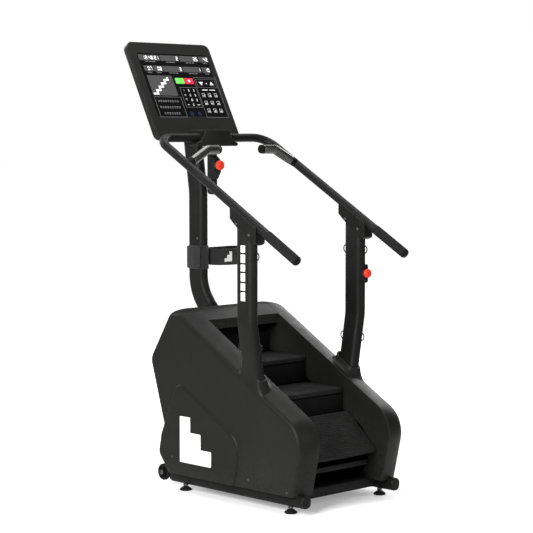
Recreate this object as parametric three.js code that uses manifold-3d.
// Stair climber: a powered loop of moving steps between two moulded side covers,
// with sloping handrails on two uprights and a console on a rear mast.
// Millimetres. +X is the user's right, +Y is the way the user faces, +Z is up.
// The origin is on the floor under the centre of the machine's outer box.
import * as THREE from "three";
import { mergeVertices } from "three/addons/utils/BufferGeometryUtils.js";
import Module from "manifold-3d";

const wasm = await Module();
wasm.setup();

// ---------------------------------------------------------------- driving dimensions
// Lengths along Y are counted from a datum line that lies PLAN_CENTRE_Y in front of the origin.
const PLAN_CENTRE_Y = 169.0;
const GAP = 0.5; // between pieces that meet

const STEP = { rise: 117, run: 228, halfWidth: 205, depth: 225, thickness: 16, lip: 24 };
const LOWEST_NOSE = { y: -171, z: 457 }; // the lowest step that is still level
const RISER = { thickness: 8, height: 86, setback: 2 };
const LOOP = { steps: 7, chainRadius: 120, shaftY: -185, shaftZ: 200 };

const COVER = { inner: 210, outer: 315, wall: 3, bottom: 76, edge: 26, edgeDepth: 50 };
const TOP_LINE = { atZero: 612.5, slope: Math.tan(Math.PI / 6) }; // top edge of the covers

const RAIL_TUBE = { x: 270, front: -425, rear: 403, width: 50, low: 30, high: 85, corner: 21 };
const UPRIGHT = { x: 325, footX: 284, y: -130, kneeLow: 530, kneeHigh: 770, top: 1240 };
const OVAL = { short: 50, long: 100 }; // section of the uprights and the mast
const HANDRAIL = { x: 325, radius: 19, lowY: -414, lowZ: 1046, barY: 440, slope: 0.5725, bend: 78 };
const MAST = { foot: [393, 663], knee: [536, 860], shoulder: [536, 1290], top: [590, 1656] };
const CONSOLE = {
  y: 525, z: 1550, tilt: 27.7, // where it leans back from, and how far
  width: 490, bottom: -16, top: 469, depth: 45, face: 12,
};
const WHEEL = { x: 286, y: 446, z: 66, radius: 36.5, width: 26, bore: 6.6 };
const FOOT = { x: 270, front: -330, rear: 321, radius: 26, stem: 6, height: 44 };

// ---------------------------------------------------------------- derived places
const STEP_PITCH = Math.hypot(STEP.rise, STEP.run);
const ALONG = new THREE.Vector2(STEP.run, STEP.rise).divideScalar(STEP_PITCH);
const OUT = new THREE.Vector2(-ALONG.y, ALONG.x);
const LOWER_SHAFT = new THREE.Vector2(LOOP.shaftY, LOOP.shaftZ);
const SHAFT_SPACING = (LOOP.steps * STEP_PITCH - 2 * Math.PI * LOOP.chainRadius) / 2;
const UPPER_SHAFT = onLoop(SHAFT_SPACING, 0);
const ALTERNATOR = onLoop(260, 10);

// A point (y, z) given by its distance up the incline from the lower shaft and its distance
// out from the line between the shafts.
function onLoop(along, out) {
  return LOWER_SHAFT.clone().addScaledVector(ALONG, along).addScaledVector(OUT, out);
}

// ---------------------------------------------------------------- finishes
function finish(color, roughness, metalness) {
  return new THREE.MeshStandardMaterial({ color, roughness, metalness });
}
const POWDER_COAT = finish(0x232322, 0.55, 0.3);
const COVER_PLASTIC = finish(0x2e2e2d, 0.6, 0);
const STEP_PLASTIC = finish(0x2a2a29, 0.7, 0);
const RUBBER = finish(0x151514, 0.85, 0);
const WEBBING = finish(0x141413, 0.95, 0);
const BARE_STEEL = finish(0x8a8c8e, 0.35, 1);
const GLOSS_PANEL = finish(0x0c0c0d, 0.2, 0);
const RED_PLASTIC = finish(0xe3402f, 0.4, 0);
const GREEN_PLASTIC = finish(0x63c94e, 0.4, 0);

// ---------------------------------------------------------------- solids
const WELD = 1e-3;

function solid(geometry) {
  const bare = geometry.clone();
  bare.deleteAttribute("normal");
  bare.deleteAttribute("uv");
  const welded = mergeVertices(bare, WELD);
  const mesh = new wasm.Mesh({
    numProp: 3,
    vertProperties: welded.attributes.position.array,
    triVerts: new Uint32Array(welded.index.array),
  });
  return new wasm.Manifold(mesh);
}

function surface(body) {
  const mesh = body.getMesh();
  const geometry = new THREE.BufferGeometry();
  geometry.setAttribute("position", new THREE.BufferAttribute(mesh.vertProperties, 3));
  geometry.setIndex(new THREE.BufferAttribute(mesh.triVerts, 1));
  geometry.computeVertexNormals();
  return geometry;
}

function joined(bodies) {
  return bodies.reduce((whole, body) => whole.add(body));
}

// A closed outline from corners [u, v, radius], each rounded by an arc where it has a radius.
function outline(corners) {
  const shape = new THREE.Shape();
  corners.forEach(([u, v, radius = 0], i) => {
    const corner = new THREE.Vector2(u, v);
    const before = corners.at(i - 1);
    const after = corners[(i + 1) % corners.length];
    const back = new THREE.Vector2(before[0], before[1]).sub(corner).normalize();
    const ahead = new THREE.Vector2(after[0], after[1]).sub(corner).normalize();
    const half = Math.acos(back.dot(ahead)) / 2;
    const start = corner.clone().addScaledVector(back, radius / Math.tan(half));
    if (i === 0) shape.moveTo(start.x, start.y);
    else shape.lineTo(start.x, start.y);
    if (radius === 0) return;
    const end = corner.clone().addScaledVector(ahead, radius / Math.tan(half));
    const towards = back.clone().add(ahead).normalize();
    const centre = corner.clone().addScaledVector(towards, radius / Math.sin(half));
    const from = start.sub(centre).angle();
    const to = end.sub(centre).angle();
    shape.absarc(centre.x, centre.y, radius, from, to, back.cross(ahead) > 0);
  });
  shape.closePath();
  return shape;
}

function rectangle(width, height, corner = 0, u = 0, v = 0) {
  return outline([
    [u - width / 2, v - height / 2, corner],
    [u + width / 2, v - height / 2, corner],
    [u + width / 2, v + height / 2, corner],
    [u - width / 2, v + height / 2, corner],
  ]);
}

function disc(radius, u = 0, v = 0) {
  const shape = new THREE.Shape();
  shape.absarc(u, v, radius, 0, 2 * Math.PI, false);
  return shape;
}

// Axes of an extrusion: where the outline's two directions and its depth go.
const X_WISE = new THREE.Matrix4().makeBasis(
  new THREE.Vector3(0, 1, 0),
  new THREE.Vector3(0, 0, 1),
  new THREE.Vector3(1, 0, 0),
);
const Y_WISE = new THREE.Matrix4().makeBasis(
  new THREE.Vector3(1, 0, 0),
  new THREE.Vector3(0, 0, 1),
  new THREE.Vector3(0, -1, 0),
);
const Z_WISE = new THREE.Matrix4();

// An outline extruded between two planes across an axis. A bevel rounds both ends inside them.
function prism(shape, axis, a, b, { arc = 2, bevel = 0, inset = bevel, rounds = 2, shrink = 0 } = {}) {
  const low = Math.min(a, b);
  const high = Math.max(a, b);
  const geometry = new THREE.ExtrudeGeometry(shape, {
    depth: high - low - 2 * bevel,
    curveSegments: arc,
    bevelEnabled: bevel > 0,
    bevelThickness: bevel,
    bevelSize: inset,
    bevelOffset: -inset - shrink,
    bevelSegments: rounds,
  });
  geometry.translate(0, 0, bevel + (axis === Y_WISE ? -high : low));
  return solid(geometry.applyMatrix4(axis));
}

function block(x0, x1, y0, y1, z0, z1) {
  const geometry = new THREE.BoxGeometry(Math.abs(x1 - x0), y1 - y0, z1 - z0);
  return solid(geometry.translate((x0 + x1) / 2, (y0 + y1) / 2, (z0 + z1) / 2));
}

// A path through corners [x, y, z, bend radius], straight between the bends.
class BentPath extends THREE.Curve {
  constructor(corners, bendSteps = 5) {
    super();
    this.stops = [];
    const places = corners.map(([x, y, z]) => new THREE.Vector3(x, y, z));
    corners.forEach(([, , , radius = 0], i) => {
      if (radius === 0) {
        this.stops.push(places[i]);
        return;
      }
      const back = places[i - 1].clone().sub(places[i]).normalize();
      const ahead = places[i + 1].clone().sub(places[i]).normalize();
      const half = Math.acos(back.dot(ahead)) / 2;
      const middle = back.clone().add(ahead).normalize();
      const centre = places[i].clone().addScaledVector(middle, radius / Math.sin(half));
      const across = ahead.clone().sub(back).normalize();
      const sweep = Math.PI / 2 - half;
      for (let step = 0; step <= bendSteps; step++) {
        const angle = sweep * ((2 * step) / bendSteps - 1);
        const stop = centre.clone().addScaledVector(middle, -radius * Math.cos(angle));
        this.stops.push(stop.addScaledVector(across, radius * Math.sin(angle)));
      }
    });
  }

  getPoint(t) {
    const place = t * (this.stops.length - 1);
    const i = Math.min(Math.floor(place), this.stops.length - 2);
    return this.stops[i].clone().lerp(this.stops[i + 1], place - i);
  }

  getPointAt(u) {
    return this.getPoint(u);
  }

  getTangentAt(u) {
    const last = this.stops.length - 1;
    const i = Math.round(u * last);
    const tangent = new THREE.Vector3();
    if (i > 0) tangent.add(this.stops[i].clone().sub(this.stops[i - 1]).normalize());
    if (i < last) tangent.add(this.stops[i + 1].clone().sub(this.stops[i]).normalize());
    return tangent.normalize();
  }
}

function sweep(shape, path, arc) {
  const geometry = new THREE.ExtrudeGeometry(shape, {
    steps: path.stops.length - 1,
    extrudePath: path,
    curveSegments: arc,
  });
  return solid(geometry);
}

function tube(corners, radius, { sides = 12, bendSteps } = {}) {
  return sweep(disc(radius), new BentPath(corners, bendSteps), sides / 2);
}

// A round piece about a line along X, from [radius, x] pairs.
function turnedOnX(pairs, y, z, sides = 18) {
  const geometry = new THREE.LatheGeometry(pairs.map(([r, x]) => new THREE.Vector2(r, x)), sides);
  geometry.rotateZ(-Math.PI / 2).translate(0, y, z);
  return solid(geometry);
}

// ---------------------------------------------------------------- scene graph
const stairClimber = new THREE.Group();
const machine = new THREE.Group();
machine.position.y = -PLAN_CENTRE_Y;
stairClimber.add(machine);

function place(name, body, material, parent = machine) {
  const mesh = new THREE.Mesh(surface(body), material);
  mesh.name = name;
  parent.add(mesh);
  return mesh;
}

const SIDES = [
  { word: "left", sign: -1 },
  { word: "right", sign: 1 },
];

// ---------------------------------------------------------------- base frame
const CROSS_TUBE = { high: 82, low: 38, depth: 50, corner: 8, front: -300, rear: 325 };
const WHEEL_EAR = { y: 432, length: 66, height: 44, corner: 16, inner: 262, outer: 268 };
const WHEEL_BOLT = { radius: 6, start: 265, head: 301, end: 306, headRadius: 10 };
const STEM_BORE = { radius: 7, depth: 22 }; // in the underside of a base rail

function baseRail(sign) {
  const { x, width, low, high, corner } = RAIL_TUBE;
  const section = rectangle(width, high - low, corner, sign * x, (high + low) / 2);
  const rail = prism(section, Y_WISE, RAIL_TUBE.front, RAIL_TUBE.rear, { arc: 2 });
  const { length, height, inner, outer } = WHEEL_EAR;
  const earSection = rectangle(length, height, WHEEL_EAR.corner, WHEEL_EAR.y, WHEEL.z);
  const ear = prism(earSection, X_WISE, sign * inner, sign * outer, { arc: 1 });
  const axle = wheelBoltLength(sign, WHEEL_BOLT.radius, WHEEL_BOLT.start, WHEEL_BOLT.head + 1);
  const head = wheelBoltLength(sign, WHEEL_BOLT.headRadius, WHEEL_BOLT.head, WHEEL_BOLT.end);
  const bores = [FOOT.front, FOOT.rear].map((y) => {
    const round = disc(STEM_BORE.radius, sign * FOOT.x, y);
    return prism(round, Z_WISE, low - 1, low + STEM_BORE.depth, { arc: 4 });
  });
  return joined([rail, ear, axle, head]).subtract(joined(bores));
}

function wheelBoltLength(sign, radius, start, end) {
  return prism(disc(radius, WHEEL.y, WHEEL.z), X_WISE, sign * start, sign * end, { arc: 6 });
}

function crossTube(y) {
  const { low, high, depth, corner } = CROSS_TUBE;
  const halfLength = RAIL_TUBE.x - RAIL_TUBE.width / 2 - GAP;
  const section = rectangle(depth, high - low, corner, y, (low + high) / 2);
  return prism(section, X_WISE, -halfLength, halfLength, { arc: 1 });
}

function levellingFoot(sign, y) {
  const { radius, stem, height } = FOOT;
  const pairs = [[0, 0], [radius, 0], [radius, 7], [16, 16], [stem, 18], [stem, height], [0, height]];
  const geometry = new THREE.LatheGeometry(pairs.map(([r, z]) => new THREE.Vector2(r, z)), 14);
  geometry.rotateX(Math.PI / 2).translate(sign * FOOT.x, y, 0);
  return solid(geometry);
}

// The wheel's bore leaves room for the axle bolt.
function transportWheel(sign) {
  const half = WHEEL.width / 2;
  const { radius, bore } = WHEEL;
  const pairs = [
    [bore, -half], [24, -half], [27, -half + 4], [31, -half + 4], [radius, -half + 7],
    [radius, half - 7], [31, half - 4], [27, half - 4], [24, half], [bore, half], [bore, -half],
  ];
  const centre = sign * WHEEL.x;
  return turnedOnX(pairs.map(([r, x]) => [r, x + centre]), WHEEL.y, WHEEL.z);
}

place("front_cross_tube", crossTube(CROSS_TUBE.front), POWDER_COAT);
place("rear_cross_tube", crossTube(CROSS_TUBE.rear), POWDER_COAT);
for (const { word, sign } of SIDES) {
  place(`base_rail_${word}`, baseRail(sign), POWDER_COAT);
  place(`front_foot_${word}`, levellingFoot(sign, FOOT.front), RUBBER);
  place(`rear_foot_${word}`, levellingFoot(sign, FOOT.rear), RUBBER);
  place(`transport_wheel_${word}`, transportWheel(sign), RUBBER);
}

// ---------------------------------------------------------------- uprights and mast
const SADDLE = { halfWidth: 28, front: -207, rear: -51, drop: 70, chamfer: 22 };
const RING = { wire: 2.5, reach: 19, halfHeight: 16, bend: 14, heights: [670, 1050] };
const BEAM = { y: MAST.foot[0], z: MAST.foot[1], side: 40, corner: 4, half: 249 };

function handrailZ(y) {
  return HANDRAIL.lowZ + HANDRAIL.slope * (y - HANDRAIL.lowY);
}

function ovalShape(acrossU, acrossV, grow = 0) {
  const u = acrossU + 2 * grow;
  const v = acrossV + 2 * grow;
  return rectangle(u, v, Math.min(u, v) / 2 - 0.05);
}

// The inclined handrail, grown by a clearance when it is used as a cutter.
function handrailTube(grow = 0) {
  const { x, radius, lowY, lowZ, barY, bend } = HANDRAIL;
  const corners = [
    [-x, lowY, lowZ],
    [-x, barY, handrailZ(barY), bend],
    [x, barY, handrailZ(barY), bend],
    [x, lowY, lowZ],
  ];
  return tube(corners, radius + grow, { sides: 14, bendSteps: 5 });
}

function uprightTube(sign, grow = 0) {
  const { x, footX, y, kneeLow, kneeHigh, top } = UPRIGHT;
  const corners = [
    [sign * footX, y, RAIL_TUBE.high + GAP - grow],
    [sign * footX, y, kneeLow, 120],
    [sign * x, y, kneeHigh, 200],
    [sign * x, y, top],
  ];
  return sweep(ovalShape(OVAL.long, OVAL.short, grow), new BentPath(corners, 3), 2);
}

// Everything above the underside of the handrail over an upright.
function aboveHandrail(clearance) {
  const { y } = UPRIGHT;
  const geometry = new THREE.BoxGeometry(800, 600, 200);
  geometry.translate(0, 0, 100 - HANDRAIL.radius - clearance);
  geometry.rotateX(Math.atan(HANDRAIL.slope)).translate(0, y, handrailZ(y));
  return solid(geometry);
}

// A small welded eye on the front or the rear face of an upright.
function tieRing(sign, facing, z) {
  const x = sign * (UPRIGHT.x + uprightLean(z));
  const face = UPRIGHT.y + (facing * OVAL.long) / 2;
  const root = face - 3 * facing;
  const tip = face + RING.reach * facing;
  const corners = [
    [x, root, z - RING.halfHeight],
    [x, tip, z - RING.halfHeight, RING.bend],
    [x, tip, z + RING.halfHeight, RING.bend],
    [x, root, z + RING.halfHeight],
  ];
  return tube(corners, RING.wire, { sides: 6, bendSteps: 2 });
}

function upright(sign) {
  const rings = RING.heights.flatMap((z) => [-1, 1].map((facing) => tieRing(sign, facing, z)));
  return joined([uprightTube(sign), ...rings]).subtract(aboveHandrail(4));
}

// How far the upright has moved inwards at a height, below its upper knee.
function uprightLean(z) {
  const { x, footX, kneeLow, kneeHigh } = UPRIGHT;
  const share = Math.max(0, Math.min(1, (kneeHigh - z) / (kneeHigh - kneeLow)));
  return (footX - x) * share;
}

// The clamp that holds the handrail on an upright: a block round the upright's top.
function railBracket(sign) {
  const { halfWidth, front, rear, drop, chamfer } = SADDLE;
  const side = outline([
    [front, handrailZ(front) - drop + 10, 6],
    [front + chamfer, handrailZ(front) - drop, 6],
    [rear - chamfer, handrailZ(rear) - drop, 6],
    [rear, handrailZ(rear) - drop + 20, 6],
    [rear, handrailZ(rear)],
    [front, handrailZ(front)],
  ]);
  const { x } = UPRIGHT;
  const body = prism(side, X_WISE, sign * x - halfWidth, sign * x + halfWidth, { arc: 2 });
  return body.subtract(uprightTube(sign, GAP)).subtract(handrailTube(GAP));
}

function mastTube(grow = 0) {
  const corners = [
    [0, ...MAST.foot],
    [0, ...MAST.knee, 190],
    [0, ...MAST.shoulder, 300],
    [0, ...MAST.top],
  ];
  return sweep(ovalShape(OVAL.short, OVAL.long, grow), new BentPath(corners, 4), 2);
}

// The console's pieces are drawn upright in this group, which leans back.
const consoleGroup = new THREE.Group();
consoleGroup.position.set(0, CONSOLE.y, CONSOLE.z);
consoleGroup.rotation.x = -THREE.MathUtils.degToRad(CONSOLE.tilt);
consoleGroup.updateMatrix();

// The console's outer box with a clearance, as a cutter.
function consoleClearance() {
  const { width, bottom, top, depth } = CONSOLE;
  const geometry = new THREE.BoxGeometry(width, 2 * depth, top - bottom + 2 * GAP);
  geometry.translate(0, GAP, (top + bottom) / 2);
  return solid(geometry.applyMatrix4(consoleGroup.matrix));
}

function beam(halfLength, grow = 0) {
  const side = BEAM.side + 2 * grow;
  const section = rectangle(side, side, BEAM.corner, BEAM.y, BEAM.z);
  return prism(section, X_WISE, -halfLength, halfLength, { arc: 1 });
}

place("mast_beam", beam(BEAM.half), POWDER_COAT);
const mast = mastTube().subtract(joined([beam(OVAL.long, GAP), consoleClearance()]));
place("mast", mast, POWDER_COAT);
for (const { word, sign } of SIDES) {
  place(`upright_${word}`, upright(sign), POWDER_COAT);
  place(`rail_bracket_${word}`, railBracket(sign), POWDER_COAT);
}
place("handrail", handrailTube(), POWDER_COAT);

// ---------------------------------------------------------------- covers
const DECK = { rim: 236, skirt: 42, top: 791 };
const LOOP_OPENING = { radius: 155, upper: 128, lower: 135 };
const COLLAR = { wall: 9, rise: 32 }; // rise of the collar's rim over the band, at the upright's axis
const PANEL = { sunk: 14, proud: 6, fillet: 9 };
const FAR = 900; // a length beyond every piece, for cutters

function coverTop(y) {
  return TOP_LINE.atZero + TOP_LINE.slope * y;
}

// The side view shared by both side covers and the rear deck between them.
const coverOutline = outline([
  [-390, 50],
  [-458, 348, 140],
  [(DECK.top - TOP_LINE.atZero) / TOP_LINE.slope, DECK.top, 80],
  [386, DECK.top + 2, 45],
  [527, 571, 75],
  [426, 248, 90],
  [452, 152, 45],
  [352, 50],
]);

const openBelow = block(-FAR, FAR, -FAR, FAR, 0, COVER.bottom);

function coverHollow(a, b) {
  return prism(coverOutline, X_WISE, a, b, {
    bevel: COVER.edgeDepth,
    inset: COVER.edge,
    shrink: COVER.wall,
  });
}

// The opening that lets the step axles reach the chain through a cover's inner wall.
function loopOpening(sign) {
  const x = [sign * (COVER.inner - 5), sign * (COVER.inner + 8)];
  const { radius, upper, lower } = LOOP_OPENING;
  const ends = [LOWER_SHAFT, UPPER_SHAFT].map(({ x: y, y: z }) =>
    prism(disc(radius, y, z), X_WISE, ...x, { arc: 8 }),
  );
  const corners = [
    onLoop(0, -lower),
    onLoop(SHAFT_SPACING, -lower),
    onLoop(SHAFT_SPACING, upper),
    onLoop(0, upper),
  ];
  const run = outline(corners.map((corner) => corner.toArray()));
  return joined([...ends, prism(run, X_WISE, ...x)]);
}

// The boss round an upright where it leaves the cover, cut level with the cover's slope.
function collar(sign) {
  const lid = new THREE.BoxGeometry(400, 600, 300);
  lid.translate(0, 0, -150).rotateX(Math.atan(TOP_LINE.slope));
  lid.translate(0, UPRIGHT.y, coverTop(UPRIGHT.y) + COLLAR.rise);
  const below = block(-400, 400, -300, 100, 380, 700);
  return uprightTube(sign, COLLAR.wall).intersect(solid(lid)).intersect(below);
}

// The raised lower panel of a cover's side.
function sidePanel(sign) {
  const panel = outline([
    [-30, 76],
    [-52, 150, 60],
    [-62, 268, 80],
    [319, 478, 34],
    [424, 240, 60],
    [440, 160, 30],
    [372, 76],
  ]);
  const { outer } = COVER;
  const { sunk, proud, fillet } = PANEL;
  const span = [sign * (outer - sunk), sign * (outer + proud)];
  return prism(panel, X_WISE, ...span, { bevel: proud, inset: fillet });
}

function sideCover(sign, neighbours) {
  const { inner, outer, wall } = COVER;
  const start = sign * (inner - COVER.edgeDepth - 5); // its rounded edge falls inside the inner wall
  const shell = prism(coverOutline, X_WISE, start, sign * outer, {
    bevel: COVER.edgeDepth,
    inset: COVER.edge,
  }).intersect(block(sign * inner, sign * (outer + 1), -FAR, FAR, 0, FAR));
  const hollow = coverHollow(start, sign * (outer - wall)).intersect(
    block(sign * (inner + wall), sign * outer, -FAR, FAR, 0, FAR),
  );
  return joined([shell.subtract(hollow), collar(sign), sidePanel(sign).subtract(hollow)])
    .subtract(uprightTube(sign, 1))
    .subtract(joined([openBelow, loopOpening(sign), ...neighbours]));
}

function rearDeckCover() {
  const half = COVER.inner - GAP;
  const { rim, skirt } = DECK;
  const behind = (y, x) => block(-x, x, y, FAR, COVER.bottom, FAR);
  const outer = prism(coverOutline, X_WISE, -half, half).intersect(behind(rim, half + 1));
  const inner = prism(coverOutline, X_WISE, -half - 1, half + 1, {
    bevel: GAP, inset: 0, shrink: COVER.wall,
  });
  const well = block(-half - 1, half + 1, rim - 1, rim + 10, 0, coverTop(rim) - skirt);
  return outer
    .subtract(inner.intersect(behind(rim + COVER.wall, half + 1)))
    .subtract(joined([openBelow, well, mastTube(2)]));
}

// Room for the base rail, the cross tubes and the mast beam where they pass a side cover.
function frameClearance(sign) {
  const { x, width, low, high, corner } = RAIL_TUBE;
  const grown = 2 * GAP + 0.2;
  const section = rectangle(width + grown, high - low + grown, corner, sign * x, (low + high) / 2);
  const reach = CROSS_TUBE.depth / 2 + 5;
  const tubes = [CROSS_TUBE.front, CROSS_TUBE.rear].map((y) =>
    block(sign * (COVER.inner - 10), sign * (x - 10), y - reach, y + reach,
      CROSS_TUBE.low - 1, CROSS_TUBE.high + 1),
  );
  return [prism(section, Y_WISE, -FAR, FAR, { arc: 2 }), beam(BEAM.half + 11, 1), ...tubes];
}

for (const { word, sign } of SIDES) {
  const neighbours = frameClearance(sign);
  place(`side_cover_${word}`, sideCover(sign, neighbours), COVER_PLASTIC);
}
place("rear_deck_cover", rearDeckCover(), COVER_PLASTIC);

// ---------------------------------------------------------------- moving steps
const AXLE = { radius: 7, back: 212, below: 12, halfLength: 231, sides: 8 };

// Each tread's nose (y, z) and the angle of its top surface, nose to back, from level.
// Steps 2 and 3 stand level on the run, 4 and 5 go round the lower turn, 6 and 7 return flat
// beneath, and 1 comes up round the upper turn.
const returnSlope = THREE.MathUtils.radToDeg(Math.atan2(ALONG.y, ALONG.x)) + 180;
const TREADS = [
  { y: 345, z: 610, tilt: -68 },
  { y: LOWEST_NOSE.y + STEP.run, z: LOWEST_NOSE.z + STEP.rise, tilt: 0 },
  { y: LOWEST_NOSE.y, z: LOWEST_NOSE.z, tilt: 0 },
  { y: -371, z: 210, tilt: 42 },
  { y: -95, z: 103, tilt: 171 },
  ...[305, 561].map((along) => {
    const nose = onLoop(along, -108);
    return { y: nose.x, z: nose.y, tilt: returnSlope };
  }),
];
const UPRIGHT_RISERS = 3; // risers of the steps on the run stand, the rest fold under their tread

function treadBody() {
  const { depth, thickness, lip, halfWidth } = STEP;
  const section = outline([
    [0, -lip, 3],
    [0, 0, 5],
    [depth, 0, 4],
    [depth, -thickness - 6, 4],
    [depth - 30, -thickness - 6],
    [depth - 36, -thickness],
    [16, -thickness],
    [14, -lip],
  ]);
  const slab = prism(section, X_WISE, -halfWidth, halfWidth, { arc: 1 });
  const rod = prism(disc(AXLE.radius, AXLE.back, -AXLE.below), X_WISE, -AXLE.halfLength,
    AXLE.halfLength, { arc: AXLE.sides / 2 });
  return slab.add(rod);
}

function riserBody() {
  const { thickness, height } = RISER;
  const section = rectangle(thickness, height, 2, thickness / 2, -height / 2);
  return prism(section, X_WISE, -STEP.halfWidth, STEP.halfWidth, { arc: 1 });
}

function placeTurned(mesh, y, z, tilt) {
  mesh.position.set(0, y, z);
  mesh.rotation.x = THREE.MathUtils.degToRad(tilt);
}

const tread = treadBody();
const riser = riserBody();
TREADS.forEach(({ y, z, tilt }, i) => {
  placeTurned(place(`tread_${i + 1}`, tread, STEP_PLASTIC), y, z, tilt);
});
TREADS.forEach(({ y, z, tilt }, i) => {
  const mesh = place(`riser_${i + 1}`, riser, STEP_PLASTIC);
  const standing = i < UPRIGHT_RISERS;
  if (standing) {
    const noseY = LOWEST_NOSE.y + STEP.run * (UPRIGHT_RISERS - 1 - i);
    const noseZ = LOWEST_NOSE.z + STEP.rise * (UPRIGHT_RISERS - 1 - i);
    placeTurned(mesh, noseY + RISER.setback, noseZ - STEP.lip - 4, 0);
    return;
  }
  const folded = new THREE.Vector2(18, -36).rotateAround(new THREE.Vector2(),
    THREE.MathUtils.degToRad(tilt));
  placeTurned(mesh, y + folded.x, z + folded.y, tilt + 90);
});

// ---------------------------------------------------------------- drive
const CHAIN = { inner: 234, outer: 243, half: 9 };
const SHAFT = { radius: 12.5, left: -258, right: 276 };
const SPROCKET = { teeth: 14, tip: 110, root: 101, inner: 235, outer: 242 };
const BELT = { inner: 262, outer: 274, thickness: 2, largePulley: 68, smallPulley: 22 };
const ALTERNATOR_BODY = { radius: 56, left: 60, right: 196, shaft: 8, postCircle: 40, post: 7 };
const SIDE_PLATE = { inner: 250, outer: 256 };
const HOUSING = { radius: 30, proud: 2 }; // round each shaft, on the outer face of a side plate

function loopBand(grow) {
  const radius = LOOP.chainRadius + grow;
  const path = new THREE.Shape();
  const low = Math.atan2(OUT.y, OUT.x);
  path.absarc(LOWER_SHAFT.x, LOWER_SHAFT.y, radius, low, low + Math.PI, false);
  path.absarc(UPPER_SHAFT.x, UPPER_SHAFT.y, radius, low + Math.PI, low + 2 * Math.PI, false);
  path.closePath();
  return path;
}

function chain(sign) {
  const span = [sign * CHAIN.inner, sign * CHAIN.outer];
  const outer = prism(loopBand(CHAIN.half), X_WISE, ...span, { arc: 8 });
  const inner = prism(loopBand(-CHAIN.half), X_WISE, span[0] - sign, span[1] + sign, { arc: 8 });
  return outer.subtract(inner);
}

function sprocketShape(centre) {
  const { teeth, root, tip } = SPROCKET;
  const toothPlan = [[0, root], [0.3, root], [0.5, tip], [0.8, tip]]; // share of the pitch, radius
  const corners = [];
  for (let tooth = 0; tooth < teeth; tooth++) {
    for (const [share, radius] of toothPlan) {
      const angle = (2 * Math.PI * (tooth + share)) / teeth;
      corners.push([centre.x + radius * Math.cos(angle), centre.y + radius * Math.sin(angle)]);
    }
  }
  return outline(corners);
}

function shaftWithSprockets(centre, right) {
  const rod = prism(disc(SHAFT.radius, centre.x, centre.y), X_WISE, SHAFT.left, right, { arc: 6 });
  const wheels = [-1, 1].map((sign) =>
    prism(sprocketShape(centre), X_WISE, sign * SPROCKET.inner, sign * SPROCKET.outer),
  );
  return joined([rod, ...wheels]);
}

function upperShaft() {
  const pulley = prism(disc(BELT.largePulley, UPPER_SHAFT.x, UPPER_SHAFT.y), X_WISE,
    BELT.inner, BELT.outer, { arc: 8 });
  return shaftWithSprockets(UPPER_SHAFT, SHAFT.right).add(pulley);
}

function alternatorBody() {
  const { radius, left, right, postCircle, post } = ALTERNATOR_BODY;
  const can = prism(disc(radius, ALTERNATOR.x, ALTERNATOR.y), X_WISE, left, right, {
    arc: 8, bevel: 6, rounds: 1,
  });
  const posts = [90, 210, 330].map((degrees) => {
    const angle = THREE.MathUtils.degToRad(degrees);
    const y = ALTERNATOR.x + postCircle * Math.cos(angle);
    const z = ALTERNATOR.y + postCircle * Math.sin(angle);
    return prism(disc(post, y, z), X_WISE, right - 4, SIDE_PLATE.inner - GAP, { arc: 4 });
  });
  return joined([can, ...posts]);
}

function alternatorPulley() {
  const { x: y, y: z } = ALTERNATOR;
  const { right, shaft } = ALTERNATOR_BODY;
  const rod = prism(disc(shaft, y, z), X_WISE, right + 1, BELT.outer, { arc: 6 });
  return rod.add(prism(disc(BELT.smallPulley, y, z), X_WISE, BELT.inner, BELT.outer, { arc: 10 }));
}

// The outline round both pulleys: an arc on each, joined by the two common tangents.
function beltLoop(grow) {
  const toSmall = ALTERNATOR.clone().sub(UPPER_SHAFT);
  const large = BELT.largePulley + grow;
  const small = BELT.smallPulley + grow;
  const facing = toSmall.angle();
  const halfArc = Math.PI / 2 - Math.asin((large - small) / toSmall.length());
  const path = new THREE.Shape();
  path.absarc(UPPER_SHAFT.x, UPPER_SHAFT.y, large, facing + halfArc,
    facing - halfArc + 2 * Math.PI, false);
  path.absarc(ALTERNATOR.x, ALTERNATOR.y, small, facing - halfArc, facing + halfArc, false);
  path.closePath();
  return path;
}

function driveBelt() {
  const outer = prism(beltLoop(GAP + BELT.thickness), X_WISE, BELT.inner, BELT.outer, { arc: 12 });
  const inner = prism(beltLoop(GAP), X_WISE, BELT.inner - 1, BELT.outer + 1, { arc: 8 });
  return outer.subtract(inner);
}

// A steel plate between rail, shafts and mast beam, with a bearing housing at each shaft.
function sidePlate(sign) {
  const { inner, outer } = SIDE_PLATE;
  const plate = outline([
    [-300, RAIL_TUBE.high + GAP],
    [-300, 250, 60],
    [-60, 480, 60],
    [360, 715, 20],
    [430, 665, 20],
    [440, 560, 30],
    [330, RAIL_TUBE.high + GAP],
  ]);
  const housings = [LOWER_SHAFT, UPPER_SHAFT].map(({ x: y, y: z }) =>
    prism(disc(HOUSING.radius, y, z), X_WISE, sign * (inner - 1), sign * (outer + HOUSING.proud),
      { arc: 6 }),
  );
  const holes = [LOWER_SHAFT, UPPER_SHAFT, ALTERNATOR].map(({ x: y, y: z }) =>
    prism(disc(SHAFT.radius + 1, y, z), X_WISE, sign * (inner - 10), sign * (outer + 10), { arc: 6 }),
  );
  return joined([prism(plate, X_WISE, sign * inner, sign * outer), ...housings])
    .subtract(joined(holes));
}

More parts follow.
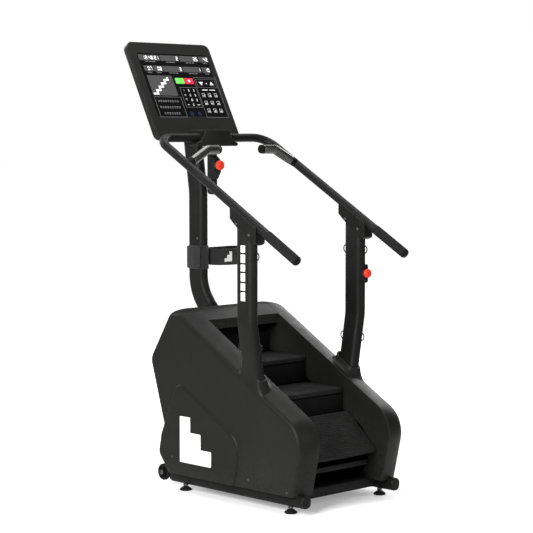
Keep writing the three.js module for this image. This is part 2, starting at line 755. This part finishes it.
for (const { word, sign } of SIDES) {
  place(`side_plate_${word}`, sidePlate(sign), POWDER_COAT);
  place(`step_chain_${word}`, chain(sign), BARE_STEEL);
}
place("lower_shaft", shaftWithSprockets(LOWER_SHAFT, -SHAFT.left), BARE_STEEL);
place("upper_shaft", upperShaft(), BARE_STEEL);
place("alternator", alternatorBody(), POWDER_COAT);
place("alternator_pulley", alternatorPulley(), BARE_STEEL);
place("drive_belt", driveBelt(), RUBBER);

// ---------------------------------------------------------------- grips
const GRIP = { radius: 18.5, rootY: 240, elbow: [203, 252, 1484], end: [125, 261, 1485] };
const SLEEVE = { run: 141.6, wall: 1.8, overhang: 5, clearance: 0.5 }; // run is its length along Y

function gripSleeve(sign) {
  const { x, radius, lowY } = HANDRAIL;
  const ends = [lowY - SLEEVE.overhang, lowY + SLEEVE.run];
  const outer = tube(ends.map((y) => [sign * x, y, handrailZ(y)]), radius + SLEEVE.wall);
  return outer.subtract(handrailTube(SLEEVE.clearance));
}

function pulseGrip(sign) {
  const { radius, rootY, elbow, end } = GRIP;
  const root = [sign * HANDRAIL.x, rootY, handrailZ(rootY)];
  const mirrored = ([x, y, z]) => [sign * x, y, z];
  const bar = tube([root, [...mirrored(elbow), 40], mirrored(end)], radius, { sides: 12 });
  return bar.subtract(handrailTube(GAP));
}

for (const { word, sign } of SIDES) {
  place(`grip_sleeve_${word}`, gripSleeve(sign), RUBBER);
  place(`pulse_grip_${word}`, pulseGrip(sign), RUBBER);
}

// ---------------------------------------------------------------- console
const KEYS = { width: 50, height: 29, depth: 5, proud: 1.5, z: 273, startX: -7, stopX: 48 };
const LENS = { side: 36, low: 92, high: 412, thickness: 1.2 };
const CONSOLE_BLOCK = {
  front: 402, rear: 514, low: 1498, high: 1570,
  side: [[122, 1498, 9], [122, 1513, 7], [98, 1520, 8], [78, 1546, 16], [76, 1570, 8]],
  undercut: { from: 458, rise: 42 }, // where its underside starts to climb, and how far
};

// A key pocket is open behind, so the key can travel into it.
function keyPocket(x) {
  const section = rectangle(KEYS.width + 1.2, KEYS.height + 1.2, 3, x, KEYS.z);
  return prism(section, Y_WISE, -1, KEYS.depth + 3, { arc: 1 });
}

function consoleFace() {
  const { width, bottom, top, face } = CONSOLE;
  const panel = rectangle(width, top - bottom, 30, 0, (top + bottom) / 2);
  const plate = prism(panel, Y_WISE, 0, face, { arc: 3 });
  const { side, low, high, thickness } = LENS;
  const glassBed = rectangle(width - 2 * side + 1, high - low + 1, 8, 0, (low + high) / 2);
  return plate
    .subtract(prism(glassBed, Y_WISE, -1, thickness + 0.5, { arc: 2 }))
    .subtract(joined([keyPocket(KEYS.startX), keyPocket(KEYS.stopX)]));
}

function displayLens() {
  const { side, low, high, thickness } = LENS;
  const sheet = rectangle(CONSOLE.width - 2 * side, high - low, 8, 0, (low + high) / 2);
  return prism(sheet, Y_WISE, 0, thickness, { arc: 2 })
    .subtract(joined([keyPocket(KEYS.startX), keyPocket(KEYS.stopX)]));
}

function consoleRearShell() {
  const { width, bottom, top, depth, face } = CONSOLE;
  const section = rectangle(width - 4, top - bottom - 4, 28, 0, (top + bottom) / 2);
  return prism(section, Y_WISE, face + GAP - 14, depth, { arc: 3, bevel: 14, rounds: 2 })
    .intersect(block(-width, width, face + GAP, depth + 1, bottom - 10, top + 10));
}

function consoleKey(x) {
  const section = rectangle(KEYS.width, KEYS.height, 3, x, KEYS.z);
  return prism(section, Y_WISE, -KEYS.proud, KEYS.depth - KEYS.proud, { arc: 1, bevel: 0.8, rounds: 1 });
}

// The block on the handrail's cross bar, with a flared foot and an underside that climbs rearwards.
function consoleBlock() {
  const { front, rear, low, side, undercut } = CONSOLE_BLOCK;
  const mirrored = side.map(([x, z, radius]) => [-x, z, radius]).reverse();
  const body = prism(outline([...side, ...mirrored]), Y_WISE, front, rear, { arc: 3, bevel: 4 });
  const wedge = outline([[undercut.from, low], [rear, low], [rear, low + undercut.rise]]);
  const reach = side[0][0];
  return body
    .subtract(prism(wedge, X_WISE, -reach, reach))
    .subtract(handrailTube(GAP));
}

machine.add(consoleGroup);
place("console_face", consoleFace(), GLOSS_PANEL, consoleGroup);
place("console_rear_shell", consoleRearShell(), COVER_PLASTIC, consoleGroup);
place("display_lens", displayLens(), GLOSS_PANEL, consoleGroup);
place("start_key", consoleKey(KEYS.startX), GREEN_PLASTIC, consoleGroup);
place("stop_key", consoleKey(KEYS.stopX), RED_PLASTIC, consoleGroup);
place("console_block", consoleBlock(), COVER_PLASTIC);

// ---------------------------------------------------------------- emergency stops
const HANGER = { half: 20, front: 430, rear: 454, low: 1282 };
const CENTRE_STOP = { y: 402, z: 1413, radius: 22 };
const RIGHT_STOP = { y: -191, z: 947, radius: 20, baseHalf: 17, baseLow: 905, baseHigh: 986 };
const CAP = { depth: 22, stem: 8, stemLength: 4 };

function estopHanger() {
  const { half, front, rear, low } = HANGER;
  const high = CONSOLE_BLOCK.low - GAP;
  const section = outline([[-half, low, 18], [half, low, 18], [half, high], [-half, high]]);
  return prism(section, Y_WISE, front, rear, { arc: 3 });
}

function centreStopHousing() {
  const back = HANGER.front - GAP;
  const wedge = outline([
    [back, 1340, 4],
    [back, 1456, 4],
    [CENTRE_STOP.y + 6, 1440, 14],
    [CENTRE_STOP.y, 1384, 10],
  ]);
  const body = prism(wedge, X_WISE, -HANGER.half, HANGER.half, { arc: 2, bevel: 3, rounds: 1 });
  return body.subtract(stopBore(0, CENTRE_STOP.y, CENTRE_STOP.z));
}

function rightStopHousing() {
  const { y, z, baseHalf, baseLow, baseHigh } = RIGHT_STOP;
  const section = rectangle(2 * baseHalf, baseHigh - baseLow, 10, UPRIGHT.x, (baseLow + baseHigh) / 2);
  const back = UPRIGHT.y - OVAL.long / 2 - GAP;
  const pad = prism(section, Y_WISE, y, back + 12, { arc: 2 });
  return pad.subtract(uprightTube(1, GAP)).subtract(stopBore(UPRIGHT.x, y, z));
}

function stopBore(x, y, z) {
  return prism(disc(CAP.stem + 0.8, x, z), Y_WISE, y - 1, y + CAP.stemLength + 6, { arc: 8 });
}

// A mushroom button whose stem slides in the housing's bore.
function mushroomCap(x, y, z, radius) {
  const travel = 5;
  const face = -travel - 0.5;
  const profile = [
    [0, face - 18], [radius * 0.38, face - 17], [radius * 0.7, face - 15],
    [radius * 0.93, face - 11], [radius, face - 5], [radius - 4, face], [CAP.stem, face],
    [CAP.stem, CAP.stemLength], [0, CAP.stemLength],
  ];
  const points = profile.map(([r, depth]) => new THREE.Vector2(r, depth));
  return solid(new THREE.LatheGeometry(points, 16).translate(x, y, z));
}

place("estop_hanger", estopHanger(), COVER_PLASTIC);
place("estop_housing_centre", centreStopHousing(), COVER_PLASTIC);
place("estop_housing_right", rightStopHousing(), COVER_PLASTIC);
place("estop_cap_centre", mushroomCap(0, CENTRE_STOP.y, CENTRE_STOP.z, CENTRE_STOP.radius),
  RED_PLASTIC);
place("estop_cap_right", mushroomCap(UPRIGHT.x, RIGHT_STOP.y, RIGHT_STOP.z, RIGHT_STOP.radius),
  RED_PLASTIC);

// ---------------------------------------------------------------- mast cuff and strap
const CUFF = { low: 945, high: 1050, wall: 4 };
const STRAP = { low: 962, high: 1036, thickness: 3, near: 470, far: 592, start: 33, end: 272 };

function mastCuff() {
  const middle = MAST.knee[0];
  const ring = (grow) => rectangle(OVAL.short + 2 * grow, OVAL.long + 2 * grow,
    OVAL.short / 2 + grow - 0.1, 0, middle);
  const outer = prism(ring(CUFF.wall), Z_WISE, CUFF.low, CUFF.high, { arc: 3, bevel: 1.5, rounds: 1 });
  return outer.subtract(prism(ring(GAP), Z_WISE, CUFF.low - 1, CUFF.high + 1, { arc: 3 }));
}

function storageStrap() {
  const { near, far, start, end, thickness, low, high } = STRAP;
  const loop = (inset) => outline([
    [start + inset, near + inset, 16 - inset],
    [end - inset, near + inset, 50 - inset],
    [end - inset, far - inset, 50 - inset],
    [start + inset, far - inset, 16 - inset],
  ]);
  return prism(loop(0), Z_WISE, low, high).subtract(prism(loop(thickness), Z_WISE, low - 1, high + 1));
}

place("mast_cuff", mastCuff(), WEBBING);
place("storage_strap", storageStrap(), WEBBING);

export default stairClimber;
